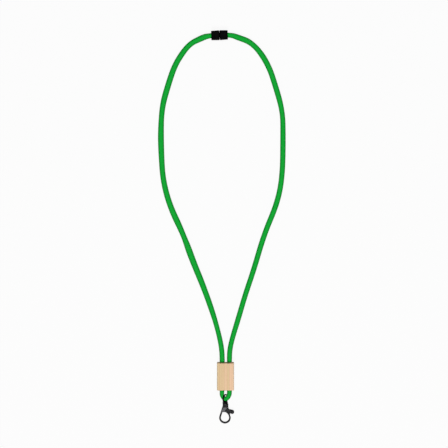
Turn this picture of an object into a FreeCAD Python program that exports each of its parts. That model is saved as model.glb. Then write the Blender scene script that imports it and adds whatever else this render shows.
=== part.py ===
import FreeCAD, Part
import math
import os

from FreeCAD import Placement, Rotation, Vector

# Neck lanyard laid flat on a table. One round cord is closed at the top by a breakaway buckle,
# runs down through the two bores of a wooden block, and carries a swivel trigger hook on the
# short loop below the block.
# Millimetres. The table is z = 0, +Y runs up the lanyard to the buckle and +Z is up.
# The origin is the middle of the block's underside.

# Cord
cord_diameter = 6.0
cord_bend_share = 0.45         # share of the shorter run that each arc of the cord takes up
socket_lead = 14.9             # how far the cord runs straight out of each buckle half, from the seam
plug_lead = 13.9
block_lead = 5.4               # how far it runs straight on above the block
loop_lead = 0.6                # and below it
meeting_height = 9.0           # of the cord's joint face above the block's lower end

# Lay of the cord between block and buckle. Each point is a share of the lay's half width and of
# its length from the block's middle, chosen by eye along the middle of the cord.
lay_half_width = 80.0
lay_length = 426.0
left_lay = [                   # from the buckle down to the block
    (-0.403, 0.9892), (-0.545, 0.9756), (-0.661, 0.9498), (-0.788, 0.9096), (-0.892, 0.8545),
    (-0.991, 0.7911), (-1.014, 0.716), (-1.001, 0.6432), (-0.970, 0.5751), (-0.866, 0.5),
    (-0.659, 0.4155), (-0.515, 0.3427), (-0.333, 0.2582), (-0.175, 0.1784), (-0.095, 0.1209),
    (-0.064, 0.0845),
]
right_lay = [                  # from the block up to the buckle
    (0.070, 0.0822), (0.105, 0.1174), (0.189, 0.1643), (0.303, 0.2371), (0.448, 0.3122),
    (0.608, 0.4155), (0.813, 0.5094), (0.890, 0.5892), (0.900, 0.7042), (0.890, 0.777),
    (0.770, 0.8545), (0.678, 0.9085), (0.531, 0.9538), (0.369, 0.9819), (0.208, 0.9951),
]

# Wooden block
block_width = 21.2
block_length = 35.2
block_thickness = 11.0
block_rounding = 1.0           # on every outer edge
bore_spacing = 8.8
bore_offset = 0.4              # of the pair of bores from the block's middle
bore_clearance = 0.15          # between the cord and its bore
bore_mouth = 0.7               # chamfer where the cord leaves the block

# Loop below the block
loop_drop = 10.2               # from the block's end to the middle of the hook's eye
loop_left = 4.3                # half the loop's width
loop_middle = -0.3             # where the hook sits on the loop, across the lanyard
loop_twist = 2.0               # rise of the loop's right leg, and fall of its left one

# Breakaway buckle, in its own frame: its length along X from the seam, its underside at z = 0
buckle_left = 7.5              # of the lanyard's middle line, at the far end of the lay
buckle_tilt = 2.4              # degrees, right end up
buckle_length = 20.8
buckle_seam_width = 12.0
buckle_end_width = 11.2
buckle_height = 8.4
buckle_rounding = 0.9
seam_gap = 0.1
seam_bevel = 0.8
socket_depth = 4.3
socket_wall = 0.8              # between the socket and the cord's end
tongue_length = 4.1
tongue_width = 6.4
tongue_thickness = 3.2
tongue_bevel = 0.5
tongue_clearance = 0.1         # at each side of the tongue
ridge_height = 0.4             # of the two snap ridges on the tongue
ridge_place = 2.9              # from the seam
ridge_clearance = 0.05         # between a ridge and the socket's sprung walls
groove_depth = 0.3             # of the grooves that the ridges rest in
plug_wall = 1.2                # between the plug's face and the cord's end

# Toothed clamp let into each buckle half, over the cord's end
clamp_width = 8.0
clamp_inset = 0.9              # from the half's outer end
clamp_margin = 0.6             # from the bottom of the cord's hole
clamp_clearance = 0.05
clamp_bevel = 0.25
clamp_window = 5.0             # width of the window that its teeth reach through
tooth_pitch = 1.5
tooth_height = 1.0
tooth_width = 4.0

# Swivel eye of the hook, in the hook's frame: the head's top face at y = 0, the bow below it
eye_wire = 1.8
eye_clearance = 0.9            # around the cord
eye_turn = 56.0                # degrees from the hook's own plane
eye_gap = 0.35                 # between the cord and the boss
boss_radius = 3.2
boss_height = 0.95
boss_bevel = 0.6
swivel_gap = 0.05              # between the boss and the hook's head
post_radius = 1.1
running_clearance = 0.05       # radial, of each turning pin or post
peen_radius = 1.5
peen_height = 0.6

# Hook body
hook_lean = 0.9                # degrees, bow to the left
head_radius = 3.3
head_height = 2.4
head_wall = 1.0
head_bore_radius = 1.85        # of the hollow that the peened end turns in
head_bore_depth = 1.6
shank_width = 6.2
shank_thickness = 5.2
shank_length = 5.35            # from the head's top to where the flanks spread
throat_out = 0.1               # of the throat above the bow's outer circle
throat_right = -0.2
cheek_foot_right = 0.6         # the lowest corner of the cheeks beside the gate
cheek_foot_rise = 8.85         # above the bow's centre
cheek_corner_drop = 7.2
bow_drop = 20.05               # from the head's top to the bow's centre
bow_radius = 7.2
bow_wall = 2.05
bow_thickness = 3.6
taper_start = 6.5              # where the shank starts to thin down to the bow
taper_end_rise = 5.55          # above the bow's centre, where it has thinned down
flank_wall = 1.2               # wall left beside the gate's slot
slot_width = 2.2
slot_top = 1.75
casting_rounding = 0.75        # along every rim of the casting
flank_rounding = 2.5           # where the shank spreads into the flank
corner_rounding = 0.8

# Gate, its pin and its spring
pivot_inset = 0.8              # of the pin from the shank's right side
pivot_drop = 3.45
pivot_ear = 1.7                # radius of the ears that carry the pin
pin_radius = 0.7
pin_head_radius = 1.1
pin_head_height = 0.25
blade_thickness = 2.0
blade_eye = 1.55               # radius of the gate's eye around its pin
gate_open = 24.0               # degrees
waist_drop = 8.0               # from the head's top to where the blade's left side bends
lip_right = 0.1
arm_thickness = 3.4
arm_clearance = 0.7            # past the throat, where the gate grows to full thickness
arm_rounding = 0.6
arm_inner_start = 5.0          # degrees round the bow at which the arm joins the bow's inner circle
inner_bend_out = 0.85          # how far the arm's inner side stands outside the bow's inner circle
inner_bend_turn = 55.5         # and how many degrees round the bow
arm_outer_start = 10.0         # degrees, the same for the outer circle
outer_bend_out = 0.3           # the same for its outer side and the bow's outer circle
outer_bend_turn = 33.6
arm_overlap = 30.0             # degrees of the bow that the arm's outline runs over before it is cut
neck_top_out = 4.75            # where the tab's upper side starts, outside the bow's outer circle
neck_top_turn = 65.3           # degrees round the bow
neck_inset = 0.8               # from there to where the blade's right side bends
neck_length = 1.6
neck_foot_out = 1.75           # the same for the tab's lower side
neck_foot_turn = 44.3
neck_rounding = 0.7
recess_inset = 0.2             # of the thin blade's edge from the start of the tab's upper side
tab_radius = 2.5
tab_out = 4.47                 # of the tab's middle, outside the bow's outer circle
tab_turn = 40.3
nose_length = 1.3              # of the gate's nose past its shoulder
shoulder_angle = 1.0           # degrees above the bow's centre
tip_excess = 8.0               # degrees of the bow drawn past the shoulder before the tip is cut
tip_gap = 0.12                 # between the gate and the hook's tip
spring_wire = 0.34
spring_radius = 1.05
spring_turns = 2.25
spring_pitch = 0.36
spring_clearance = 0.08
push_leg_length = 3.9          # of the leg in the gate's groove
rest_leg_drop = 1.0            # below the pin, where the other leg bears on the slot's wall
spring_pocket = 1.2            # depth of the pocket in the gate that the coil sits in

# For building
overrun = 1.0                  # of each cutting tool past the face that it cuts
touching = 0.01                # how near two points are to count as one


def on_circle(middle, radius, degrees):
    angle = math.radians(degrees)
    return middle + Vector(radius * math.cos(angle), radius * math.sin(angle), 0)


# Worked out from the sizes above
cord_radius = cord_diameter / 2
bore_radius = cord_radius + bore_clearance
bore_height = block_thickness / 2
block_end = block_length / 2
buckle_cord_height = buckle_height / 2
clamp_thickness = buckle_height / 2 - cord_radius
eye_radius = cord_radius + eye_clearance + eye_wire / 2
eye_to_head = cord_radius + eye_gap + boss_height + swivel_gap
buckle_middle = Vector(-buckle_left, lay_length, 0)
eye_middle = Vector(loop_middle, -block_end - loop_drop, bore_height)
pivot = Vector(shank_width / 2 - pivot_inset, -pivot_drop, 0)
bow_middle = Vector(0, -bow_drop, 0)
throat_drop = bow_drop - bow_radius - throat_out
taper_end = bow_drop - taper_end_rise
cheek_foot = bow_middle + Vector(cheek_foot_right, cheek_foot_rise, 0)
blade_waist = Vector(cheek_foot_right, -waist_drop, 0)
blade_lip = Vector(lip_right, -throat_drop, 0)
neck_top = on_circle(bow_middle, bow_radius + neck_top_out, neck_top_turn)
neck_foot = on_circle(bow_middle, bow_radius + neck_foot_out, neck_foot_turn)
neck_start = neck_top + Vector(-neck_inset, neck_length, 0)
tab_middle = on_circle(bow_middle, bow_radius + tab_out, tab_turn)
bow_inner = bow_radius - bow_wall
bow_lap = bow_radius - bow_wall / 2
X, Y, Z = Vector(1, 0, 0), Vector(0, 1, 0), Vector(0, 0, 1)


def at(x, y, z=0.0):
    return Vector(x, y, z)


def line(a, b):
    return Part.LineSegment(a, b).toShape()


def arc(a, middle, b):
    return Part.Arc(a, middle, b).toShape()


def touch_point(point, middle, radius, side):
    # Where a line from the point touches the circle, on its left (1) or its right (-1).
    away = point - middle
    turn = math.degrees(math.acos(radius / away.Length))
    return middle + Rotation(Z, -side * turn).multVec(away) * (radius / away.Length)


def box(low, high):
    size = high - low
    return Part.makeBox(size.x, size.y, size.z, low)


def plate(outline, thickness):
    # A flat piece of the given outline, half its thickness to each side of the hook's plane.
    face = Part.Face(outline)
    return face.extrude(Z * thickness).translated(Z * (-thickness / 2))


def disc(middle, radius, thickness):
    return Part.makeCylinder(radius, thickness, middle - Z * (thickness / 2), Z)


def upright_edges(shape, points):
    # The edges square to the hook's plane that stand on the given points.
    found = []
    for edge in shape.Edges:
        start, end = edge.Vertexes[0].Point, edge.Vertexes[-1].Point
        if abs(start.z - end.z) < touching or math.hypot(start.x - end.x, start.y - end.y) > touching:
            continue
        if any(math.hypot(start.x - p.x, start.y - p.y) < touching for p in points):
            found.append(edge)
    return found


# Cord

def bore_x(side):
    return bore_offset + side * bore_spacing / 2


def on_buckle(along):
    turn = Rotation(Z, buckle_tilt)
    return buckle_middle + turn.multVec(at(along, 0, buckle_cord_height))


def lay_route(lay, first_height, last_height):
    # The cord lies on the table, and its first and last points are on the way up to its holes.
    heights = [cord_radius] * len(lay)
    heights[0], heights[-1] = first_height, last_height
    return [
        at(across * lay_half_width, along * lay_length, height)
        for (across, along), height in zip(lay, heights)
    ]


def left_route():
    # From the socket half round the left side, down through the block, round the loop and
    # up into the right bore.
    near_buckle = (cord_radius + buckle_cord_height) / 2
    near_block = (cord_radius + bore_height) / 2
    return [
        on_buckle(-socket_depth - socket_wall),
        on_buckle(-socket_lead),
        *lay_route(left_lay, near_buckle, near_block),
        at(bore_x(-1), block_end + block_lead, bore_height),
        at(bore_x(-1), -block_end - loop_lead, bore_height),
        eye_middle + at(-loop_left, 0, -loop_twist),
        eye_middle + at(loop_left, 0, loop_twist),
        at(bore_x(1), -block_end - loop_lead, bore_height),
        at(bore_x(1), -block_end + meeting_height, bore_height),
    ]


def right_route():
    # From the end of the first piece inside the right bore, up the right side to the plug half.
    near_buckle = (cord_radius + buckle_cord_height) / 2
    near_block = (cord_radius + bore_height) / 2
    return [
        at(bore_x(1), -block_end + meeting_height, bore_height),
        at(bore_x(1), block_end + block_lead, bore_height),
        *lay_route(right_lay, near_block, near_buckle),
        on_buckle(plug_lead),
        on_buckle(plug_wall),
    ]


def tangent_path(points):
    # Straight runs joined by arcs that take up the same share of the shorter run at each point.
    edges, radii, start = [], [], points[0]
    for before, corner, after in zip(points, points[1:], points[2:]):
        back, ahead = before - corner, after - corner
        trim = cord_bend_share * min(back.Length, ahead.Length)
        back.normalize()
        ahead.normalize()
        half_turn = (math.pi - back.getAngle(ahead)) / 2
        radius = trim / math.tan(half_turn)
        inwards = (back + ahead).normalize()
        middle = corner + inwards * (radius / math.cos(half_turn) - radius)
        edges.append(line(start, corner + back * trim))
        edges.append(arc(corner + back * trim, middle, corner + ahead * trim))
        start = corner + ahead * trim
        radii.append(radius)
    edges.append(line(start, points[-1]))
    return Part.Wire(edges), radii


def cord(name, points):
    path, radii = tangent_path(points)
    ring = Part.Circle(points[0], points[1] - points[0], cord_radius)
    solid = path.makePipeShell([Part.Wire(ring.toShape())], True, False)
    expected = math.pi * cord_radius**2 * path.Length
    print(name, "length", round(path.Length, 1), "volume over section x length",
          round(solid.Volume / expected, 5), "radii", [round(radius, 1) for radius in radii])
    return solid


# Wooden block

def wood_block():
    block = box(at(-block_width / 2, -block_end), at(block_width / 2, block_end, block_thickness))
    block = block.makeFillet(block_rounding, block.Edges)
    for side in (-1, 1):
        for end in (-1, 1):
            mouth = at(bore_x(side), end * block_end, bore_height)
            block = block.cut(
                Part.makeCone(bore_radius + bore_mouth, bore_radius, bore_mouth, mouth, Y * -end))
        start = at(bore_x(side), -block_end, bore_height)
        block = block.cut(Part.makeCylinder(bore_radius, block_length, start, Y))
    return block


# Breakaway buckle

def buckle_span(side, wall):
    # Where the cord's hole ends, and the half's outer end, along the buckle.
    return sorted((side * wall, side * buckle_length / 2))


def half_shell(side, wall):
    seam, end = side * seam_gap / 2, side * buckle_length / 2
    corners = [
        at(seam, -buckle_seam_width / 2),
        at(end, -buckle_end_width / 2),
        at(end, buckle_end_width / 2),
        at(seam, buckle_seam_width / 2),
    ]
    outline = Part.makePolygon(corners + corners[:1])
    shell = Part.Face(outline).extrude(Z * buckle_height)
    away = [e for e in shell.Edges if abs(e.CenterOfMass.x - seam) > touching]
    shell = shell.makeFillet(buckle_rounding, away)
    on_seam = [e for e in shell.Edges if all(abs(v.X - seam) < touching for v in e.Vertexes)]
    shell = shell.makeChamfer(seam_bevel, on_seam)
    low, high = buckle_span(side, wall)
    hole = Part.makeCylinder(
        cord_radius + bore_clearance, high - low, at(low, 0, buckle_cord_height), X)
    return shell.cut(hole)


def clamp_ends(side, wall):
    low, high = buckle_span(side, wall)
    if side > 0:
        return low + clamp_margin, high - clamp_inset
    return low + clamp_inset, high - clamp_margin


def clamp_pocket(side, wall):
    low, high = clamp_ends(side, wall)
    ledge = buckle_height - clamp_thickness
    seat = box(at(low, -clamp_width / 2, ledge), at(high, clamp_width / 2, buckle_height))
    window = box(
        at(low + clamp_margin / 2, -clamp_window / 2, buckle_cord_height),
        at(high - clamp_margin / 2, clamp_window / 2, ledge))
    return seat.fuse(window)


def clamp(side, wall):
    low, high = clamp_ends(side, wall)
    ledge = buckle_height - clamp_thickness
    gap = clamp_clearance
    lid = box(
        at(low + gap, -clamp_width / 2 + gap, ledge),
        at(high - gap, clamp_width / 2 - gap, buckle_height))
    rim = [e for e in lid.Edges if all(v.Z > ledge + gap for v in e.Vertexes)]
    lid = lid.makeChamfer(clamp_bevel, rim)
    room = high - low - clamp_margin - 2 * gap
    count = max(1, int(room // tooth_pitch))
    for number in range(count):
        middle = (low + high) / 2 + (number - (count - 1) / 2) * tooth_pitch
        tip = [
            at(middle - tooth_pitch / 3, -tooth_width / 2, ledge),
            at(middle + tooth_pitch / 3, -tooth_width / 2, ledge),
            at(middle, -tooth_width / 2, ledge - tooth_height),
        ]
        tooth = Part.Face(Part.makePolygon(tip + tip[:1])).extrude(Y * tooth_width)
        lid = lid.fuse(tooth)
    return lid.removeSplitter()


def buckle_socket():
    shell = half_shell(-1, socket_depth + socket_wall)
    shell = shell.cut(clamp_pocket(-1, socket_depth + socket_wall))
    half_width = tongue_width / 2 + tongue_clearance
    half_height = tongue_thickness / 2 + ridge_height + ridge_clearance
    mouth = box(
        at(-socket_depth, -half_width, buckle_cord_height - half_height),
        at(seam_gap, half_width, buckle_cord_height + half_height))
    shell = shell.cut(mouth)
    for side in (-1, 1):
        middle = at(-ridge_place, -half_width, buckle_cord_height + side * tongue_thickness / 2)
        groove = ridge_height + ridge_clearance + groove_depth
        shell = shell.cut(Part.makeCylinder(groove, 2 * half_width, middle, Y))
    return shell


def buckle_plug():
    shell = half_shell(1, plug_wall).cut(clamp_pocket(1, plug_wall))
    tongue = box(
        at(-tongue_length, -tongue_width / 2, buckle_cord_height - tongue_thickness / 2),
        at(seam_gap, tongue_width / 2, buckle_cord_height + tongue_thickness / 2))
    front = [e for e in tongue.Edges if abs(e.CenterOfMass.x + tongue_length) < touching]
    tongue = tongue.makeChamfer(tongue_bevel, front)
    for side in (-1, 1):
        middle = at(-ridge_place, -tongue_width / 2, buckle_cord_height + side * tongue_thickness / 2)
        tongue = tongue.fuse(Part.makeCylinder(ridge_height, tongue_width, middle, Y))
    return shell.fuse(tongue).removeSplitter()


# Swivel eye

def swivel_eye():
    bottom = swivel_gap
    top = bottom + boss_height
    peen_top = -head_wall - running_clearance
    profile = [
        at(0, top),
        at(boss_radius - boss_bevel - eye_wire / 4, top),
        at(boss_radius - eye_wire / 8, top - boss_bevel),
        at(boss_radius, bottom),
        at(post_radius, bottom),
        at(post_radius, peen_top),
        at(peen_radius, peen_top),
        at(peen_radius - peen_height / 3, peen_top - peen_height),
        at(0, peen_top - peen_height),
    ]
    boss = Part.Face(Part.makePolygon(profile + profile[:1])).revolve(Vector(), Y, 360)
    ring = Part.makeTorus(eye_radius, eye_wire / 2, at(0, eye_to_head), Z)
    ring.rotate(at(0, eye_to_head), Y, eye_turn)
    reach = eye_radius + eye_wire
    above = box(at(-reach, bottom, -reach), at(reach, eye_to_head + reach, reach))
    return boss.fuse(ring.common(above)).removeSplitter()


# Hook body

def flank_line():
    # The left flank runs from the shank's corner to where it touches the bow's outer circle.
    corner = at(-shank_width / 2, -shank_length)
    to_bow = bow_middle - corner
    lean = math.asin(bow_radius / to_bow.Length)
    direction = Rotation(Z, -math.degrees(lean)).multVec(to_bow).normalize()
    touch = corner + direction * math.sqrt(to_bow.Length**2 - bow_radius**2)
    return corner, touch, direction


def along_to(point, direction, drop):
    # The place on a line where it crosses y = -drop.
    return point + direction * ((-drop - point.y) / direction.y)


def ear_height():
    return math.sqrt(pivot_ear**2 - pivot_inset**2)


def body_outline():
    corner, touch, direction = flank_line()
    inner_touch = bow_middle + (touch - bow_middle) * (bow_inner / bow_radius)
    throat_left = along_to(inner_touch, direction, throat_drop)
    tip_angle = shoulder_angle + tip_excess
    top_left, top_right = at(-shank_width / 2, 0), at(shank_width / 2, 0)
    ear_top = at(shank_width / 2, pivot.y + ear_height())
    ear_bottom = at(shank_width / 2, pivot.y - ear_height())
    cheek = at(shank_width / 2, -cheek_corner_drop)
    throat = at(throat_right, -throat_drop)
    outer_end = on_circle(bow_middle, bow_radius, tip_angle)
    inner_end = on_circle(bow_middle, bow_inner, tip_angle)
    edges = [
        line(top_left, corner),
        line(corner, touch),
        arc(touch, on_circle(bow_middle, bow_radius, -90), outer_end),
        line(outer_end, inner_end),
        arc(inner_end, on_circle(bow_middle, bow_inner, -90), inner_touch),
        line(inner_touch, throat_left),
        line(throat_left, throat),
        line(throat, cheek_foot),
        line(cheek_foot, cheek),
        line(cheek, ear_bottom),
        arc(ear_bottom, pivot + X * pivot_ear, ear_top),
        line(ear_top, top_right),
        line(top_right, top_left),
    ]
    corners = {"corner": corner, "throat_left": throat_left, "cheek": cheek,
               "top_left": top_left, "top_right": top_right}
    return Part.Wire(edges), corners


def thickness_profile():
    # Side view of the casting: thick at the shank, curving down to the thinner bow.
    third = (taper_end - taper_start) / 3
    top, end = overrun, -bow_drop - bow_radius - overrun
    edges = []
    for side in (-1, 1):
        shank, bow = side * shank_thickness / 2, side * bow_thickness / 2
        bend = Part.BezierCurve()
        bend.setPoles([
            at(0, -taper_start, shank),
            at(0, -taper_start - third, shank),
            at(0, -taper_end + third, bow),
            at(0, -taper_end, bow),
        ])
        edges.append(line(at(0, top, shank), at(0, -taper_start, shank)))
        edges.append(bend.toShape())
        edges.append(line(at(0, -taper_end, bow), at(0, end, bow)))
    edges.append(line(at(0, end, -bow_thickness / 2), at(0, end, bow_thickness / 2)))
    edges.append(line(at(0, top, -shank_thickness / 2), at(0, top, shank_thickness / 2)))
    outline = Part.Wire(Part.sortEdges(edges)[0])
    width = 4 * bow_radius
    return Part.Face(outline).extrude(X * width).translated(X * (-width / 2))


def faces_up(face):
    u_low, u_high, v_low, v_high = face.ParameterRange
    return abs(face.normalAt((u_low + u_high) / 2, (v_low + v_high) / 2).z) > 0.9


def rim_edges(shape):
    # The edges where a broad face meets a side face.
    broad = [face for face in shape.Faces if faces_up(face)]
    sides = [face for face in shape.Faces if not faces_up(face)]

    def touches(edge, faces):
        return any(edge.isSame(other) for face in faces for other in face.Edges)

    return [edge for edge in shape.Edges if touches(edge, broad) and touches(edge, sides)]


def gate_slot():
    corner, touch, direction = flank_line()
    inwards = Vector(-direction.y, direction.x, 0)
    wall = corner + inwards * flank_wall
    foot = along_to(wall, direction, throat_drop + overrun)
    side = at(-shank_width / 2 + flank_wall, -shank_length)
    right = shank_width
    points = [
        at(side.x, -slot_top),
        side,
        foot,
        at(right, foot.y),
        at(right, -slot_top),
    ]
    return plate(Part.makePolygon(points + points[:1]), slot_width)


def right_of_bow():
    return box(at(bow_inner / 2, -bow_drop - bow_radius, -bow_thickness),
               at(2 * bow_radius, -throat_drop, bow_thickness))


def shoulder_reach():
    return (on_circle(bow_middle, bow_radius, shoulder_angle) - pivot).Length


def tip_cut():
    # The hook's tip ends on arcs about the gate's pin, so that the gate swings past it freely.
    reach, nose = shoulder_reach() + tip_gap, shoulder_reach() + nose_length + tip_gap
    thick = 2 * bow_thickness
    lap = disc(pivot, nose, thick).common(disc(bow_middle, bow_lap + tip_gap / 2, thick))
    return disc(pivot, reach, thick).fuse(lap).common(right_of_bow())


def hook_body():
    outline, corners = body_outline()
    body = plate(outline, shank_thickness)
    body = body.makeFillet(flank_rounding, upright_edges(body, [corners["corner"]]))
    rounded = [corners["throat_left"], corners["cheek"], corners["top_left"], corners["top_right"]]
    body = body.makeFillet(corner_rounding, upright_edges(body, rounded))
    body = body.common(thickness_profile())
    body = body.makeFillet(casting_rounding, rim_edges(body))
    body = body.cut(tip_cut())
    head = Part.makeCylinder(head_radius, head_height, Vector(), -Y)
    body = body.fuse(head)
    bore = Part.makeCylinder(
        post_radius + running_clearance, head_wall + 2 * overrun, Y * overrun, -Y)
    hollow = Part.makeCylinder(head_bore_radius, head_bore_depth, at(0, -head_wall), -Y)
    pin_bore = disc(pivot, pin_radius, 2 * shank_thickness)
    for tool in (gate_slot(), bore, hollow, pin_bore):
        body = body.cut(tool)
    return body


# Gate, pin and spring

def gate_outline():
    # The blade from its eye down to the shoulder, with the thumb tab on its right side.
    eye_left, eye_right = pivot - X * blade_eye, pivot + X * blade_eye
    inner_bend = on_circle(bow_middle, bow_inner + inner_bend_out, inner_bend_turn)
    outer_bend = on_circle(bow_middle, bow_radius + outer_bend_out, outer_bend_turn)
    inner_start = on_circle(bow_middle, bow_inner, arm_inner_start)
    inner_end = on_circle(bow_middle, bow_inner, -arm_overlap)
    outer_end = on_circle(bow_middle, bow_radius, -arm_overlap)
    outer_start = on_circle(bow_middle, bow_radius, arm_outer_start)
    tab_top = touch_point(neck_top, tab_middle, tab_radius, 1)
    tab_foot = touch_point(neck_foot, tab_middle, tab_radius, -1)
    edges = [
        line(eye_left, blade_waist),
        line(blade_waist, blade_lip),
        arc(blade_lip, inner_bend, inner_start),
        arc(inner_start, on_circle(bow_middle, bow_inner, -arm_overlap / 2), inner_end),
        line(inner_end, outer_end),
        arc(outer_end, on_circle(bow_middle, bow_radius, -arm_overlap / 3), outer_start),
        arc(outer_start, outer_bend, neck_foot),
        line(neck_foot, tab_foot),
        arc(tab_foot, tab_middle + X * tab_radius, tab_top),
        line(tab_top, neck_top),
        line(neck_top, neck_start),
        line(neck_start, eye_right),
        arc(eye_right, pivot + Y * blade_eye, eye_left),
    ]
    return Part.Wire(edges)


def gate_reach():
    # All that the gate may fill: up to its shoulder, and up to its nose inside the hook's tip.
    thick = 2 * bow_thickness
    nose = disc(pivot, shoulder_reach() + nose_length, thick)
    lap = nose.common(disc(bow_middle, bow_lap - tip_gap / 2, thick))
    return disc(pivot, shoulder_reach(), thick).fuse(lap)


def gate_recess():
    # Taken off each face to leave the thin blade, clear of the casting's cheeks over the travel.
    throat_left = body_outline()[1]["throat_left"]
    reach = (throat_left - pivot).Length + arm_clearance
    side = neck_top.x - recess_inset
    foot = at(side, pivot.y - math.sqrt(reach**2 - (side - pivot.x)**2))
    low = at(-bow_radius, -2 * bow_drop, blade_thickness / 2)
    room = disc(pivot, reach, 2 * arm_thickness).common(box(low, at(side, bow_drop, arm_thickness)))
    return room.makeFillet(neck_rounding, upright_edges(room, [foot]))


def spring_room():
    # Pocket in the gate's face for the coil, and the groove for the leg that pushes the gate.
    top = blade_thickness / 2
    floor = top - spring_pocket
    room = Part.makeCylinder(
        blade_eye + overrun, spring_pocket + overrun, at(pivot.x, pivot.y, floor), Z)
    leg = pivot.x + spring_radius
    groove = box(
        at(leg - 3 * spring_wire, pivot.y - push_leg_length - 2 * spring_clearance, floor),
        at(leg + spring_wire / 2 + spring_clearance, pivot.y, top + overrun))
    return room.fuse(groove)


def gate():
    lever = plate(gate_outline(), arm_thickness)
    lever = lever.makeFillet(neck_rounding, upright_edges(lever, [neck_foot]))
    middles = [(edge, edge.CenterOfMass) for edge in rim_edges(lever)]
    rims = [edge for edge, middle in middles if middle.y < neck_top.y and middle.x > blade_waist.x]
    lever = lever.makeFillet(arm_rounding, rims).common(gate_reach())
    recess = gate_recess()
    lever = lever.cut(recess)
    lever = lever.cut(recess.mirror(Vector(), Z))
    lever = lever.cut(disc(pivot, pin_radius + running_clearance, 2 * blade_thickness))
    return lever.cut(spring_room()).removeSplitter()


def gate_pin():
    pin = disc(pivot, pin_radius, shank_thickness)
    for side in (-1, 1):
        head = Part.makeCylinder(
            pin_head_radius, pin_head_height, pivot + Z * (side * shank_thickness / 2), Z * side)
        pin = pin.fuse(head)
    return pin.removeSplitter()


def gate_spring():
    base = blade_thickness / 2 - spring_pocket + spring_clearance + spring_wire / 2
    height = spring_turns * spring_pitch
    helix = Part.makeHelix(spring_pitch, height, spring_radius)
    section = Part.Wire(Part.Circle(at(spring_radius, 0), Y, spring_wire / 2).toShape())
    coil = helix.makePipeShell([section], True, True)
    coil.translate(at(pivot.x, pivot.y, base))
    start = at(pivot.x + spring_radius, pivot.y, base)
    push_leg = Part.makeCylinder(spring_wire / 2, push_leg_length, start, -Y)
    turned = math.radians(360 * spring_turns)
    end = at(pivot.x + spring_radius * math.cos(turned), pivot.y + spring_radius * math.sin(turned),
             base + height)
    wall = -shank_width / 2 + flank_wall + spring_wire / 2
    reach = at(wall, pivot.y - rest_leg_drop, end.z) - end
    rest_leg = Part.makeCylinder(spring_wire / 2, reach.Length, end, reach)
    return coil.fuse(push_leg).fuse(rest_leg)


# Placing and writing

def hook_placement():
    # The hook lies with its bow on the table and hangs from the loop at its eye.
    reach = eye_to_head + bow_drop + bow_radius
    slope = math.degrees(math.asin((eye_middle.z - bow_thickness / 2) / reach))
    turn = Rotation(Z, -hook_lean).multiply(Rotation(X, slope))
    return Placement(eye_middle, turn).multiply(Placement(at(0, -eye_to_head), Rotation()))


def write(name, shape):
    if not shape.isValid() or len(shape.Solids) != 1:
        print("fault:", name, "valid", shape.isValid(), "solids", len(shape.Solids))
    solid = shape.Solids[0]
    bounds = solid.BoundBox
    print(name, "volume", round(solid.Volume, 2), "faces", len(solid.Faces),
          "z", round(bounds.ZMin, 3), "to", round(bounds.ZMax, 3))
    solid.exportStep("parts/" + name + ".step")


def main():
    os.makedirs("parts", exist_ok=True)
    buckle = Placement(buckle_middle, Rotation(Z, buckle_tilt))
    hook = hook_placement()
    on_buckle_frame = {
        "buckle_socket": buckle_socket(),
        "buckle_socket_clamp": clamp(-1, socket_depth + socket_wall),
        "buckle_plug": buckle_plug(),
        "buckle_plug_clamp": clamp(1, plug_wall),
    }
    on_hook_frame = {
        "swivel_eye": swivel_eye(),
        "hook_body": hook_body(),
        "gate": gate(),
        "gate_pin": gate_pin(),
        "gate_spring": gate_spring(),
    }
    for placement, shapes in ((buckle, on_buckle_frame), (hook, on_hook_frame)):
        for shape in shapes.values():
            shape.Placement = placement.multiply(shape.Placement)
    left = cord("cord_left", left_route()).cut(on_buckle_frame["buckle_socket_clamp"])
    right = cord("cord_right", right_route()).cut(on_buckle_frame["buckle_plug_clamp"])
    pieces = {"cord_left": left, "cord_right": right, "wood_block": wood_block()}
    pieces.update(on_buckle_frame)
    pieces.update(on_hook_frame)
    for name, shape in pieces.items():
        write(name, shape)
    axis = hook.Rotation.multVec(Rotation(Y, eye_turn).multVec(Z))
    print("swing axis", axis, "at", eye_middle)
    print("swivel axis", hook.Rotation.multVec(-Y), "at", hook.Base)
    print("gate pin at", hook.multVec(pivot), "axis", hook.Rotation.multVec(-Z))
    print("buckle axis", buckle.Rotation.multVec(X))
    print("bow middle", hook.multVec(bow_middle))


main()
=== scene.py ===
import math

import bpy
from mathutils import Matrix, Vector


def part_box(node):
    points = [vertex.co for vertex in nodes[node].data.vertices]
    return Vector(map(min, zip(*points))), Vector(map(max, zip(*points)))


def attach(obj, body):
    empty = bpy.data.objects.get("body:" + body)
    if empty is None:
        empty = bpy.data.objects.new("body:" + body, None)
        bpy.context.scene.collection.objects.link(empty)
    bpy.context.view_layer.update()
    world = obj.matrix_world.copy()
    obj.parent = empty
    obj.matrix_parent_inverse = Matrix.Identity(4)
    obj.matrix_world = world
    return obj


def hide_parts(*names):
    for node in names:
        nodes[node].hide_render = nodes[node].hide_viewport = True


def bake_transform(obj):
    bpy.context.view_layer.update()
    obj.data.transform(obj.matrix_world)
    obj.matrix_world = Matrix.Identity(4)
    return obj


# Neck lanyard laid flat: green braided cord, black breakaway buckle, bamboo block, black trigger hook.
# Metres. The table is z = 0 and +Y runs up the lanyard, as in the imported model.

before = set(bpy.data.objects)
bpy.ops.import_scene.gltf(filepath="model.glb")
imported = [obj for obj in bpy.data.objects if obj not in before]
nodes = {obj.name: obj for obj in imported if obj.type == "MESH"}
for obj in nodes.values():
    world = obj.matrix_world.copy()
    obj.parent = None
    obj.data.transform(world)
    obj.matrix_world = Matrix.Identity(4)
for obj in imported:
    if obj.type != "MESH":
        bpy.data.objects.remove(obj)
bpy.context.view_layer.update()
print("frame loaded,", len(nodes), "nodes")


# camera, table and lights

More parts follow.
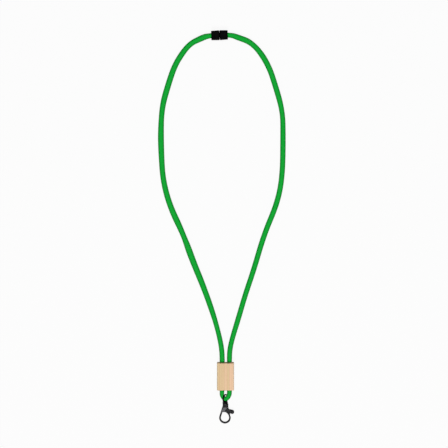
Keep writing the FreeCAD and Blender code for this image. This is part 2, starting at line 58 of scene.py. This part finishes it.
photoView = {
    "lens": 200.0,
    "sensor": 36.0,
    "tableWidth": 0.56,          # metres of table across the picture
    "tableLevel": 0.003,         # height at which that width holds
    "middle": (-0.001875, 0.1901),
}

studio = {
    "middle": (0.0, 0.19),       # of the table, and what the lamps point at
    "floorSize": 60.0,
    "floorLevel": -0.0001,       # just under the piece, so that no faces lie in one plane
    "floorColour": (0.70, 0.70, 0.70),
    "floorGlow": 0.90,           # share of the floor's white that the camera sees without light
    "skyTop": 0.26,              # strength overhead
    "skyRim": 0.40,              # and round the horizon, as pale paper standing round the table
    "rimHeight": (0.10, 0.35),   # sine of the angles at which the rim fades out
    "lamps": [
        {"name": "lowPanel", "place": (-0.25, -1.90, 3.30), "size": 1.05, "watts": 78.0},
        {"name": "topPanel", "place": (0.25, 0.95, 3.50), "size": 1.0, "watts": 58.0},
    ],
}


def addCamera(view):
    lens = bpy.data.cameras.new("overhead")
    lens.lens = view["lens"]
    lens.sensor_width = view["sensor"]
    distance = view["tableWidth"] * view["lens"] / view["sensor"]
    camera = bpy.data.objects.new("overhead", lens)
    camera.location = (*view["middle"], view["tableLevel"] + distance)
    bpy.context.scene.collection.objects.link(camera)
    bpy.context.scene.camera = camera


def newMaterial(name):
    material = bpy.data.materials.new(name)
    material.use_nodes = True
    material.node_tree.nodes.clear()
    return material


def addNode(material, kind, settings=None, inputs=None):
    node = material.node_tree.nodes.new(kind)
    for key, value in (settings or {}).items():
        setattr(node, key, value)
    for key, value in (inputs or {}).items():
        node.inputs[key].default_value = value
    return node


def join(material, source, target):
    material.node_tree.links.new(source, target)


def mathNode(material, operation, first, second=None, third=None):
    node = addNode(material, "ShaderNodeMath", {"operation": operation})
    for socket, value in zip(node.inputs, (first, second, third)):
        if value is None:
            continue
        if isinstance(value, (int, float)):
            socket.default_value = value
        else:
            join(material, value, socket)
    return node.outputs[0]


def mixColour(material, share, first, second):
    node = addNode(material, "ShaderNodeMix", {"data_type": "RGBA"})
    for socket, value in ((node.inputs[0], share), (node.inputs[6], first), (node.inputs[7], second)):
        if isinstance(value, (int, float)):
            socket.default_value = value
        elif isinstance(value, tuple):
            socket.default_value = (*value, 1.0)
        else:
            join(material, value, socket)
    return node.outputs[2]


noiseSpread = (0.3, 0.7)         # nearly all that a noise texture gives lies between these


def stretch(material, source, low, high, newLow, newHigh):
    node = addNode(material, "ShaderNodeMapRange")
    for key, value in (("From Min", low), ("From Max", high), ("To Min", newLow), ("To Max", newHigh)):
        node.inputs[key].default_value = value
    join(material, source, node.inputs["Value"])
    return node.outputs["Result"]


def roughen(material, shader, height, look):
    bump = addNode(material, "ShaderNodeBump", None, {
        "Strength": look["bump"], "Distance": look["bumpDepth"]})
    join(material, height, bump.inputs["Height"])
    join(material, bump.outputs[0], shader.inputs["Normal"])


def addTable(settings):
    bpy.ops.object.select_all(action="DESELECT")
    bpy.ops.mesh.primitive_plane_add(
        size=settings["floorSize"], location=(*settings["middle"], settings["floorLevel"]))
    floor = bpy.context.object
    floor.name = "table"
    white = newMaterial("tableWhite")
    matt = addNode(white, "ShaderNodeBsdfDiffuse")
    matt.inputs["Color"].default_value = (*settings["floorColour"], 1.0)
    glow = addNode(white, "ShaderNodeEmission")
    glow.inputs["Color"].default_value = (1.0, 1.0, 1.0, 1.0)
    rays = addNode(white, "ShaderNodeLightPath")
    seen = mathNode(white, "MAXIMUM", rays.outputs["Is Camera Ray"], rays.outputs["Is Glossy Ray"])
    seen = mathNode(white, "MAXIMUM", seen, rays.outputs["Is Transmission Ray"])
    share = mathNode(white, "MULTIPLY", seen, settings["floorGlow"])
    both = addNode(white, "ShaderNodeMixShader")
    out = addNode(white, "ShaderNodeOutputMaterial")
    join(white, share, both.inputs[0])
    join(white, matt.outputs[0], both.inputs[1])
    join(white, glow.outputs[0], both.inputs[2])
    join(white, both.outputs[0], out.inputs["Surface"])
    floor.data.materials.append(white)


def addSky(settings):
    world = bpy.data.worlds.new("studioSky")
    bpy.context.scene.world = world
    world.use_nodes = True
    tree = world.node_tree
    tree.nodes.clear()
    out = tree.nodes.new("ShaderNodeOutputWorld")
    sky = tree.nodes.new("ShaderNodeBackground")
    direction = tree.nodes.new("ShaderNodeTexCoord")
    parts = tree.nodes.new("ShaderNodeSeparateXYZ")
    fade = tree.nodes.new("ShaderNodeMapRange")
    fade.interpolation_type = "SMOOTHSTEP"
    for key, value in zip(("From Min", "From Max", "To Min", "To Max"),
                          (*settings["rimHeight"], settings["skyRim"], settings["skyTop"])):
        fade.inputs[key].default_value = value
    tree.links.new(direction.outputs["Generated"], parts.inputs[0])
    tree.links.new(parts.outputs["Z"], fade.inputs["Value"])
    tree.links.new(fade.outputs["Result"], sky.inputs["Strength"])
    tree.links.new(sky.outputs[0], out.inputs["Surface"])


def addLamps(settings):
    for lamp in settings["lamps"]:
        panel = bpy.data.lights.new(lamp["name"], "AREA")
        panel.shape = "SQUARE"
        panel.size = lamp["size"]
        panel.energy = lamp["watts"]
        holder = bpy.data.objects.new(lamp["name"], panel)
        holder.location = lamp["place"]
        aim = Vector((*settings["middle"], 0)) - holder.location
        holder.rotation_euler = aim.to_track_quat("-Z", "Y").to_euler()
        bpy.context.scene.collection.objects.link(holder)


addCamera(photoView)
addTable(studio)
addSky(studio)
addLamps(studio)
bpy.context.scene.view_settings.view_transform = "Standard"
print("camera, table and lights ready")


# braided cord

braid = {
    "diameter": 0.006,
    "strands": 16,               # each way round, and a multiple of the weave's repeat
    "repeat": 4,                 # strands after which over and under come round again
    "over": (1, 3),              # where in the repeat the strands of each way lie on top
    "pitch": 0.00155,            # along the cord from one strand to the next
    "samples": 3,                # mesh steps across a strand
    "crown": 0.00017,            # how far a strand rounds up from its edges
    "weave": 0.00010,            # how far it rises over and dips under the others
    "twist": 0.35,               # slow turn of the whole braid, in radians
    "twistRate": 41,             # how fast it comes and goes, in radians per metre
    "softness": 0.35,            # how far a swollen length flattens
    "lowest": 0.00003,           # height of the side that lies on the table
    "routeSteps": 32,            # of the drawn route between two of its points
    "otherWay": 3000,            # moves the strands of one way off, so that none shares its fibres
    "look": {
        "deepFibre": (0.0050, 0.345, 0.029),
        "brightFibre": (0.0100, 0.490, 0.050),
        "fibresAcross": 9.0,         # per strand
        "fibresAlong": 1.1,
        "strandTint": (0.004, 0.30, 0.025),
        "strandShare": 0.28,         # at the most, which differs from strand to strand
        "patchTint": (0.011, 0.45, 0.044),
        "patchShare": 0.3,
        "patchSize": 55.0,
        # painted shade in the grooves between the strands
        "grooveShadeTint": (0.002, 0.13, 0.010),
        "grooveShadeShare": 0.75,
        "grooveSteepness": 3.0,
        # painted shade down the cord's sides
        "sideShadeTint": (0.001, 0.055, 0.006),
        "sideShadeShare": 0.48,           # painted shade: this share low on the cord's sides, and none on top
        "sideShadeHeight": 0.35,          # sine of the angle round the cord where that share is reached
        "rough": (0.62, 0.80),
        "shine": 0.03,
        "bump": 0.5,
        "bumpDepth": 0.00006,
    },
}

leftCord = {
    "name": "braidLeft",
    "node": "cord_left",
    "length": 0.523,
    "exit": (-0.01789, 0.42556, 0.0042),
    "route": [
        (-0.01260, 0.42579, 0.0042), (-0.02239, 0.42538, 0.0042), (-0.0322, 0.4214, 0.0036),
        (-0.0436, 0.4158, 0.003), (-0.0533, 0.4048, 0.003), (-0.0637, 0.3878, 0.003),
        (-0.0717, 0.3640, 0.003), (-0.0793, 0.3370, 0.003), (-0.0810, 0.3050, 0.003),
        (-0.0801, 0.2740, 0.003), (-0.0781, 0.2450, 0.003), (-0.0698, 0.2130, 0.003),
        (-0.0527, 0.1770, 0.003), (-0.0417, 0.1460, 0.003), (-0.0267, 0.1097, 0.003),
        (-0.0147, 0.0755, 0.003), (-0.0081, 0.0515, 0.003), (-0.0050, 0.0360, 0.00425),
        (-0.0040, 0.0230, 0.0055), (-0.0042, -0.0178, 0.0055), (-0.0047, -0.0238, 0.0043),
        (-0.0016, -0.0282, 0.0043), (0.0016, -0.0282, 0.0068), (0.0047, -0.0238, 0.0068),
        (0.0050, -0.0178, 0.0055), (0.0048, -0.0086, 0.0055),
    ],
    "widths": [                  # distance along the cord, width there
        (0.000, 0.0060), (0.006, 0.0063), (0.016, 0.0074), (0.033, 0.0068), (0.056, 0.0071),
        (0.102, 0.0074), (0.132, 0.0067), (0.160, 0.0074), (0.203, 0.0068), (0.233, 0.0071),
        (0.265, 0.0075), (0.287, 0.0068), (0.308, 0.0080), (0.330, 0.0076), (0.373, 0.0069),
        (0.412, 0.0060), (0.440, 0.0063), (0.450, 0.0063), (0.456, 0.0061), (0.484, 0.0061),
        (0.492, 0.0055), (0.503, 0.0055), (0.511, 0.0060), (0.523, 0.0061),
    ],
}

rightCord = {
    "name": "braidRight",
    "node": "cord_right",
    "length": 0.485,
    "exit": (0.00289, 0.42644, 0.0042),
    "route": [
        (0.0048, -0.0086, 0.0055), (0.0048, 0.0230, 0.0055), (0.0056, 0.0350, 0.00425),
        (0.0092, 0.0497, 0.003), (0.0155, 0.0700, 0.003), (0.0245, 0.1010, 0.003),
        (0.0354, 0.1330, 0.003), (0.0482, 0.1770, 0.003), (0.0651, 0.2170, 0.003),
        (0.0713, 0.2510, 0.003), (0.0720, 0.3000, 0.003), (0.0715, 0.3310, 0.003),
        (0.0621, 0.3640, 0.003), (0.0543, 0.3870, 0.003), (0.0426, 0.4063, 0.003),
        (0.0300, 0.4182, 0.003), (0.0164, 0.4230, 0.0036), (0.00639, 0.42658, 0.0042),
        (-0.00630, 0.42605, 0.0042),
    ],
    "widths": [
        (0.000, 0.0061), (0.026, 0.0061), (0.034, 0.0063), (0.053, 0.0062), (0.085, 0.0066),
        (0.105, 0.0065), (0.190, 0.0067), (0.232, 0.0068), (0.273, 0.0066), (0.313, 0.0067),
        (0.345, 0.0063), (0.374, 0.0069), (0.400, 0.0069), (0.420, 0.0071), (0.440, 0.0067),
        (0.452, 0.0071), (0.462, 0.0071), (0.474, 0.0061), (0.484, 0.0060),
    ],
    "follow": {"start": (0.071, 0.300, 0.003), "end": (0.008, 0.424, 0.004)},
}


def readRoute(name, route, steps):
    curve = bpy.data.curves.new(name + "Route", "CURVE")
    curve.dimensions = "3D"
    curve.resolution_u = steps
    spline = curve.splines.new("NURBS")
    spline.points.add(len(route) - 1)
    for point, place in zip(spline.points, route):
        point.co = (*place, 1.0)
    spline.order_u = 3
    spline.use_endpoint_u = True
    holder = bpy.data.objects.new(name + "Route", curve)
    bpy.context.scene.collection.objects.link(holder)
    bpy.context.view_layer.update()
    mesh = bpy.data.meshes.new_from_object(holder)
    line = [vertex.co.copy() for vertex in mesh.vertices]
    bpy.data.objects.remove(holder)
    bpy.data.curves.remove(curve)
    bpy.data.meshes.remove(mesh)
    return line


def between(table, place):
    for (fromPlace, fromValue), (toPlace, toValue) in zip(table, table[1:]):
        if place <= toPlace:
            share = (place - fromPlace) / (toPlace - fromPlace)
            share = share * share * (3 - 2 * share)
            return fromValue + (toValue - fromValue) * share
    return table[-1][1]


def strandHeights(braid):
    # height of the braid's surface over one repeat of the weave, above its mean
    steps = braid["samples"]
    size = braid["repeat"] * steps
    oneOver, otherOver = braid["over"]

    def heightOn(strand, across, along, over):
        rise = 1 - (2 * (across - strand) - 1) ** 2
        wave = math.cos(math.tau / braid["repeat"] * (along + strand - over))
        return braid["crown"] * rise + braid["weave"] * wave

    heights = {}
    for first in range(size):
        for second in range(size):
            p, q = first / steps, second / steps
            oneWay = [heightOn(strand, p, q, oneOver) for strand in (math.floor(p), math.ceil(p) - 1)]
            otherWay = [heightOn(strand, q, p, otherOver) for strand in (math.floor(q), math.ceil(q) - 1)]
            heights[first, second] = max(oneWay + otherWay)
    mean = sum(heights.values()) / len(heights)
    return {key: value - mean for key, value in heights.items()}


def braidRows(cord, braid, line, marks, rowCount):
    # the tube's vertices row by row, how far up each one lies, and the middle of each row
    around = braid["samples"] * braid["strands"]
    repeat = braid["repeat"] * braid["samples"]
    heights = strandHeights(braid)
    rowStep = marks[-1] / (rowCount - 1)
    vertices, tops, middles = [], [], []
    at = 0
    for row in range(rowCount):
        along = min(row * rowStep, marks[-1])
        while at < len(line) - 2 and marks[at + 1] < along:
            at += 1
        share = (along - marks[at]) / (marks[at + 1] - marks[at])
        middle = line[at].lerp(line[at + 1], share)
        before = line[at + 1] - line[max(at - 1, 0)]
        after = line[min(at + 2, len(line) - 1)] - line[at]
        ahead = before.normalized().lerp(after.normalized(), share).normalized()
        side = ahead.cross(Vector((0, 0, 1))).normalized()
        up = side.cross(ahead)
        # a swollen length lies flatter and lower, a squeezed one stays round
        wide = between(cord["widths"], along) / 2
        swell = wide - braid["diameter"] / 2
        sink = braid["softness"] * max(swell, 0)
        high = braid["diameter"] / 2 + min(swell, 0) - sink
        middle = middle - up * sink
        middles.append(middle)
        turn = braid["twist"] * math.sin(along * braid["twistRate"] + len(line))
        for column in range(row % 2, 2 * around, 2):
            first, second = (column + row) // 2, (column - row) // 2
            lift = heights[first % repeat, second % repeat]
            angle = math.pi * column / around + turn
            cosine, sine = math.cos(angle), math.sin(angle)
            place = middle + side * (cosine * (wide + lift)) + up * (sine * (high + lift))
            place.z = max(place.z, braid["lowest"])
            vertices.append(place)
            tops.append(sine)
    return vertices, tops, middles


def braidFaces(braid, rowCount):
    # diamonds between the rows, triangles and a cap at each end, and each corner's place in its strand
    steps = braid["samples"]
    around = steps * braid["strands"]
    repeat = braid["repeat"]
    last = rowCount - 1
    plain = (0.5, 0.0)

    def vertexAt(column, row):
        return row * around + (column % (2 * around)) // 2

    faces, maps = [], []
    for row in range(rowCount - 2):
        for column in range(row % 2, 2 * around, 2):
            faces.append((vertexAt(column, row), vertexAt(column - 1, row + 1),
                          vertexAt(column, row + 2), vertexAt(column + 1, row + 1)))
            p, q = (column + row) // 2, (column - row) // 2
            corners = [(p, q), (p, q - 1), (p + 1, q - 1), (p + 1, q)]
            if (p // steps + (q - 1) // steps) % repeat < repeat / 2:      # this way's strand is on top
                maps.append([(a / steps, b / steps) for a, b in corners])
            else:
                maps.append([(b / steps - braid["otherWay"], a / steps) for a, b in corners])
    for column in range(0, 2 * around, 2):
        faces.append((vertexAt(column, 0), vertexAt(column + 1, 1), vertexAt(column + 2, 0)))
        maps.append([plain] * 3)
    for column in range(last % 2, 2 * around, 2):
        faces.append((vertexAt(column, last), vertexAt(column + 2, last), vertexAt(column + 1, last - 1)))
        maps.append([plain] * 3)
    faces.append([vertexAt(column, 0) for column in range(0, 2 * around, 2)])
    faces.append([vertexAt(column, last) for column in range(last % 2, 2 * around, 2)][::-1])
    maps += [[plain] * around] * 2
    return faces, maps


def braidedTube(cord, braid, material):
    line = readRoute(cord["name"], cord["route"], braid["routeSteps"])
    marks = [0.0]
    for here, there in zip(line, line[1:]):
        marks.append(marks[-1] + (there - here).length)
    rowCount = 2 * round(marks[-1] / (braid["pitch"] / braid["samples"])) + 1
    vertices, tops, middles = braidRows(cord, braid, line, marks, rowCount)
    faces, maps = braidFaces(braid, rowCount)

    mesh = bpy.data.meshes.new(cord["name"])
    mesh.from_pydata(vertices, [], faces)
    layer = mesh.uv_layers.new(name="strands")
    layer.data.foreach_set("uv", [number for corners in maps for corner in corners for number in corner])
    # how far up round the cord each vertex lies, for the painted shade down its sides
    facingUp = mesh.attributes.new("facingUp", "FLOAT", "POINT")
    facingUp.data.foreach_set("value", tops)
    mesh.materials.append(material)
    mesh.update()
    tube = bpy.data.objects.new(cord["name"], mesh)
    bpy.context.scene.collection.objects.link(tube)
    mesh.shade_smooth()
    print(cord["name"], "length", round(marks[-1], 4), "faces", len(faces))
    return tube, middles


def braidMaterial(look):
    green = newMaterial("greenBraid")
    out = addNode(green, "ShaderNodeOutputMaterial")
    shader = addNode(green, "ShaderNodeBsdfPrincipled", None, {"Specular IOR Level": look["shine"]})
    uv = addNode(green, "ShaderNodeUVMap", {"uv_map": "strands"})
    split = addNode(green, "ShaderNodeSeparateXYZ")
    join(green, uv.outputs[0], split.inputs[0])
    across, along = split.outputs[0], split.outputs[1]
    inStrand = mathNode(green, "FRACT", across)
    offMiddle = mathNode(green, "ABSOLUTE", mathNode(green, "MULTIPLY_ADD", inStrand, 2.0, -1.0))
    groove = mathNode(green, "POWER", offMiddle, look["grooveSteepness"])
    strand = addNode(green, "ShaderNodeTexWhiteNoise", {"noise_dimensions": "1D"})
    join(green, mathNode(green, "FLOOR", across), strand.inputs["W"])
    spread = addNode(green, "ShaderNodeCombineXYZ")
    join(green, mathNode(green, "MULTIPLY", across, look["fibresAcross"]), spread.inputs[0])
    join(green, mathNode(green, "MULTIPLY", along, look["fibresAlong"]), spread.inputs[1])
    noise = addNode(green, "ShaderNodeTexNoise", {"noise_dimensions": "2D"}, {
        "Scale": 1.0, "Detail": 2.0})
    join(green, spread.outputs[0], noise.inputs["Vector"])
    fibres = noise.outputs["Fac"]
    place = addNode(green, "ShaderNodeTexCoord")
    patches = addNode(green, "ShaderNodeTexNoise", None, {"Scale": look["patchSize"], "Detail": 2.0})
    join(green, place.outputs["Object"], patches.inputs["Vector"])
    colour = mixColour(green, fibres, look["deepFibre"], look["brightFibre"])
    tinted = stretch(green, strand.outputs["Value"], 0.0, 1.0, 0.0, look["strandShare"])
    colour = mixColour(green, tinted, colour, look["strandTint"])
    patched = stretch(green, patches.outputs["Fac"], *noiseSpread, 0.0, look["patchShare"])
    colour = mixColour(green, patched, colour, look["patchTint"])
    # painted shade, darker green in the grooves between the strands
    grooveShade = mathNode(green, "MULTIPLY", groove, look["grooveShadeShare"])
    colour = mixColour(green, grooveShade, colour, look["grooveShadeTint"])
    # painted shade: darker green down the cord's sides and underneath, none along the top
    facingUp = addNode(green, "ShaderNodeAttribute", {"attribute_name": "facingUp"})
    paintedSideShade = stretch(green, facingUp.outputs["Fac"], look["sideShadeHeight"], 1.0, look["sideShadeShare"], 0.0)
    colour = mixColour(green, paintedSideShade, colour, look["sideShadeTint"])
    join(green, colour, shader.inputs["Base Color"])
    join(green, stretch(green, fibres, *noiseSpread, *look["rough"]), shader.inputs["Roughness"])
    roughen(green, shader, fibres, look)
    join(green, shader.outputs[0], out.inputs["Surface"])
    return green


greenBraid = braidMaterial(braid["look"])
for cord in (leftCord, rightCord):
    tube, middles = braidedTube(cord, braid, greenBraid)
    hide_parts(cord["node"])
    if "follow" in cord:
        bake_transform(tube)
    else:
        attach(tube, "strap")
print("cords ready")


# bamboo block

block = {
    "node": "wood_block",
    "rounding": 0.0010,
    "roundingSteps": 4,
    "bores": [-0.0040, 0.0048],
    "boreHeight": 0.0055,
    "boreRadius": 0.00315,
    "boreSides": 72,
    "mouth": 0.0007,             # chamfer where the cord comes out
    "smoothAngle": 32,           # degrees up to which faces are shaded as one
    "look": {
        "strip": 0.0031,             # width of one laminated strip
        "stripShift": 0.0013,        # from the frame's middle line to the next glue line, to the left
        "stripTints": ((0.655, 0.495, 0.275), (0.800, 0.535, 0.365)),
        "glue": 0.00022,             # half the width of the line between two
        "glueTint": (0.55, 0.27, 0.17),
        "glueShare": 0.8,
        "grain": (900.0, 22.0, 900.0),
        "grainFades": (0.35, 0.75),      # part of the noise over which its tint comes in
        "grainTint": (0.68, 0.44, 0.245),
        "grainShare": 0.42,
        "fibres": (5200.0, 160.0, 5200.0),
        "fibreFades": (0.45, 0.8),
        "fibreTint": (0.62, 0.40, 0.23),
        "fibreShare": 0.35,
        "edge": 0.0013,              # how far in the painted shade on its long edges reaches
        "edgeShadeTint": (0.50, 0.38, 0.25),
        "edgeShadeShare": 0.8,
        "end": (0.0020, 0.0020 / 3),     # below the top: where the painted shade on its top end face starts and is full
        "topEndShadeTint": (0.20, 0.12, 0.055),
        "topEndShadeShare": 0.85,
        # how far from the middle the painted shade over the cord's mouths starts, is full, thins and ends
        "mouthShade": (0.0006, 0.0026, 0.0060, 0.0078),
        "mouthShadeTint": (0.014, 0.045, 0.004),
        "mouthShadeShare": 0.95,
        "mouthShadeGrainFades": (0.3, 0.6),
        "mouthShadeByGrain": (0.75, 1.0),       # how much of the painted shade one streak of the grain and the next take up
        "boreShade": (0.0001, 0.0009),     # beyond the bore's wall, where the painted shade inside the bore fades
        "boreShadeTint": (0.16, 0.09, 0.04),
        "boreShadeShare": 0.9,
        "rough": (0.5, 0.66),
        "shine": 0.25,
        "bump": 0.35,
        "bumpDepth": 0.00005,
    },
}


def selectFaces(obj, wanted):
    bpy.ops.mesh.select_all(action="DESELECT")
    bpy.ops.object.mode_set(mode="OBJECT")
    for face in obj.data.polygons:
        face.select = wanted(face)
    bpy.ops.object.mode_set(mode="EDIT")


def boreCutter(block, x, low, high):
    bpy.ops.object.select_all(action="DESELECT")
    middle = (low + high) / 2
    length = high.y - low.y - 2 * block["mouth"]
    bpy.ops.mesh.primitive_cylinder_add(
        vertices=block["boreSides"], radius=block["boreRadius"], depth=length,
        location=(x, middle.y, block["boreHeight"]), rotation=(math.pi / 2, 0, 0))
    bpy.ops.object.transform_apply(location=True, rotation=True, scale=True)
    cutter = bpy.context.object
    flare = 3 * block["mouth"]   # runs on past the block's end
    grow = (block["boreRadius"] + flare) / block["boreRadius"]
    bpy.ops.object.mode_set(mode="EDIT")
    bpy.ops.mesh.select_mode(type="FACE")
    for way in (1, -1):
        selectFaces(cutter, lambda face: face.normal.y * way > 0.9)      # the end on that side
        bpy.ops.mesh.extrude_region_move(TRANSFORM_OT_translate={"value": (0, way * flare, 0)})
        bpy.ops.transform.resize(value=(grow, 1, grow))
    bpy.ops.object.mode_set(mode="OBJECT")
    return cutter


def modelBlock(block):
    low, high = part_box(block["node"])
    bpy.ops.object.select_all(action="DESELECT")
    bpy.ops.mesh.primitive_cube_add(size=1, location=(low + high) / 2)
    piece = bpy.context.object
    piece.name = "bambooBlock"
    bpy.ops.object.mode_set(mode="EDIT")
    bpy.ops.transform.resize(value=high - low)
    bpy.ops.mesh.select_all(action="SELECT")
    bpy.ops.mesh.bevel(
        offset=block["rounding"], segments=block["roundingSteps"], profile=0.5, affect="EDGES")
    bpy.ops.object.mode_set(mode="OBJECT")
    bpy.ops.object.transform_apply(location=True, rotation=True, scale=True)
    for x in block["bores"]:
        cutter = boreCutter(block, x, low, high)
        bpy.context.view_layer.objects.active = piece
        drill = piece.modifiers.new("bore", "BOOLEAN")
        drill.operation = "DIFFERENCE"
        drill.solver = "EXACT"
        drill.object = cutter
        bpy.ops.object.modifier_apply(modifier=drill.name)
        bpy.data.objects.remove(cutter)
    bpy.ops.object.select_all(action="DESELECT")
    piece.select_set(True)
    bpy.ops.object.shade_smooth_by_angle(angle=math.radians(block["smoothAngle"]))
    return piece


def bambooMaterial(block, low, high):
    look = block["look"]
    bamboo = newMaterial("bamboo")
    out = addNode(bamboo, "ShaderNodeOutputMaterial")
    shader = addNode(bamboo, "ShaderNodeBsdfPrincipled", None, {"Specular IOR Level": look["shine"]})
    place = addNode(bamboo, "ShaderNodeTexCoord")
    split = addNode(bamboo, "ShaderNodeSeparateXYZ")
    join(bamboo, place.outputs["Object"], split.inputs[0])
    x, y, z = split.outputs

    # laminated strips along Y, each with its own tint, and the glue lines between them
    strips = mathNode(bamboo, "MULTIPLY_ADD", x, 1 / look["strip"], look["stripShift"] / look["strip"])
    tint = addNode(bamboo, "ShaderNodeTexWhiteNoise", {"noise_dimensions": "1D"})
    join(bamboo, mathNode(bamboo, "FLOOR", strips), tint.inputs["W"])
    offJoint = mathNode(bamboo, "PINGPONG", strips, 0.5)
    glue = stretch(bamboo, offJoint, 0.0, look["glue"] / look["strip"], 1.0, 0.0)

    def streaks(scale, detail):
        drawn = addNode(bamboo, "ShaderNodeMapping", None, {"Scale": scale})
        join(bamboo, place.outputs["Object"], drawn.inputs["Vector"])
        noise = addNode(bamboo, "ShaderNodeTexNoise", None, {"Scale": 1.0, "Detail": detail})
        join(bamboo, drawn.outputs[0], noise.inputs["Vector"])
        return noise.outputs["Fac"]

    grain = streaks(look["grain"], 3.0)
    fibres = streaks(look["fibres"], 2.0)

    # painted shade along the long edges and on the top end face
    middle, half = (low + high) / 2, (high - low) / 2
    beside = mathNode(bamboo, "ABSOLUTE", mathNode(bamboo, "SUBTRACT", x, middle.x))
    edgeShade = stretch(bamboo, beside, half.x - look["edge"], half.x, 0.0, 1.0)
    endStarts, endFull = (high.y - below for below in look["end"])
    atEnd = stretch(bamboo, y, endStarts, endFull, 0.0, 1.0)

    # painted shade on the bores' walls
    depth = mathNode(bamboo, "SUBTRACT", z, block["boreHeight"])
    depthSquared = mathNode(bamboo, "POWER", depth, 2.0)
    toBore = 1.0                 # further off than any point of the block
    for bore in block["bores"]:
        sideSquared = mathNode(bamboo, "POWER", mathNode(bamboo, "SUBTRACT", x, bore), 2.0)
        reach = mathNode(bamboo, "SQRT", mathNode(bamboo, "ADD", depthSquared, sideSquared))
        toBore = mathNode(bamboo, "MINIMUM", reach, toBore)
    wallEnd, fadeEnd = (block["boreRadius"] + beyond for beyond in look["boreShade"])
    boreShade = stretch(bamboo, toBore, wallEnd, fadeEnd, 1.0, 0.0)

    # painted shade of the cord's mouths, on the top end over the bores
    starts, full, thins, ends = look["mouthShade"]
    overBore = mathNode(bamboo, "MULTIPLY", stretch(bamboo, beside, starts, full, 0.0, 1.0),
                        stretch(bamboo, beside, thins, ends, 1.0, 0.0))
    mouthShadeByGrain = stretch(bamboo, grain, *look["mouthShadeGrainFades"], *look["mouthShadeByGrain"])
    mouthShade = mathNode(bamboo, "MULTIPLY", mathNode(bamboo, "MULTIPLY", overBore, mouthShadeByGrain), atEnd)

    colour = mixColour(bamboo, tint.outputs["Value"], *look["stripTints"])
    for share, new in (
            (stretch(bamboo, grain, *look["grainFades"], 0.0, look["grainShare"]), "grainTint"),
            (stretch(bamboo, fibres, *look["fibreFades"], 0.0, look["fibreShare"]), "fibreTint"),
            (mathNode(bamboo, "MULTIPLY", glue, look["glueShare"]), "glueTint"),
            # painted shade on the long edges
            (mathNode(bamboo, "MULTIPLY", edgeShade, look["edgeShadeShare"]), "edgeShadeTint"),
            # painted shade on the top end face
            (mathNode(bamboo, "MULTIPLY", atEnd, look["topEndShadeShare"]), "topEndShadeTint"),
            # painted shade over the cord's mouths
            (mathNode(bamboo, "MULTIPLY", mouthShade, look["mouthShadeShare"]), "mouthShadeTint"),
            # painted shade inside the bores
            (mathNode(bamboo, "MULTIPLY", boreShade, look["boreShadeShare"]), "boreShadeTint")):
        colour = mixColour(bamboo, share, colour, look[new])
    join(bamboo, colour, shader.inputs["Base Color"])
    join(bamboo, stretch(bamboo, grain, *noiseSpread, *look["rough"]), shader.inputs["Roughness"])
    roughen(bamboo, shader, fibres, look)
    join(bamboo, shader.outputs[0], out.inputs["Surface"])
    return bamboo


woodPiece = modelBlock(block)
woodPiece.data.materials.append(bambooMaterial(block, *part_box(block["node"])))
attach(woodPiece, "strap")
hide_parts(block["node"])
print("block ready, faces", len(woodPiece.data.polygons))


# finishes of the hard pieces

finishes = {
    "buckleBlack": {
        "pieces": ["buckle_socket", "buckle_plug", "buckle_socket_clamp", "buckle_plug_clamp"],
        "dark": (0.0002, 0.0002, 0.0003), "light": (0.0008, 0.0008, 0.0009),
        "rough": (0.42, 0.55), "metal": 0.0, "shine": 0.02, "rim": 1.0,
        "cloudSize": 320.0, "grainSize": 5200.0, "bump": 0.4, "bumpDepth": 0.00003,
    },
    "castBlack": {
        "pieces": ["hook_body", "gate", "swivel_eye", "gate_pin"],
        "dark": (0.0075, 0.0075, 0.0080), "light": (0.0110, 0.0110, 0.0115),
        "rough": (0.18, 0.26), "metal": 1.0, "shine": 0.5, "rim": 0.0,
        "cloudSize": 320.0, "grainSize": 900.0, "bump": 0.4, "bumpDepth": 0.00001,
    },
    "springSteel": {
        "pieces": ["gate_spring"],
        "dark": (0.30, 0.30, 0.31), "light": (0.46, 0.46, 0.47),
        "rough": (0.24, 0.36), "metal": 1.0, "shine": 0.5, "rim": 1.0,
        "cloudSize": 320.0, "grainSize": 2600.0, "bump": 0.4, "bumpDepth": 0.00001,
    },
}


def hardMaterial(name, finish):
    hard = newMaterial(name)
    out = addNode(hard, "ShaderNodeOutputMaterial")
    shader = addNode(hard, "ShaderNodeBsdfPrincipled", None, {
        "Metallic": finish["metal"], "Specular IOR Level": finish["shine"],
        "Specular Tint": (finish["rim"], finish["rim"], finish["rim"], 1.0)})
    place = addNode(hard, "ShaderNodeTexCoord")
    noise = addNode(hard, "ShaderNodeTexNoise", None, {"Scale": finish["cloudSize"], "Detail": 3.0})
    join(hard, place.outputs["Object"], noise.inputs["Vector"])
    cloud = noise.outputs["Fac"]
    grain = addNode(hard, "ShaderNodeTexNoise", None, {"Scale": finish["grainSize"], "Detail": 2.0})
    join(hard, place.outputs["Object"], grain.inputs["Vector"])
    join(hard, mixColour(hard, cloud, finish["dark"], finish["light"]), shader.inputs["Base Color"])
    join(hard, stretch(hard, cloud, *noiseSpread, *finish["rough"]), shader.inputs["Roughness"])
    roughen(hard, shader, grain.outputs["Fac"], finish)
    join(hard, shader.outputs[0], out.inputs["Surface"])
    return hard


for name, finish in finishes.items():
    material = hardMaterial(name, finish)
    for piece in finish["pieces"]:
        nodes[piece].material_slots[0].material = material
print("finishes ready")
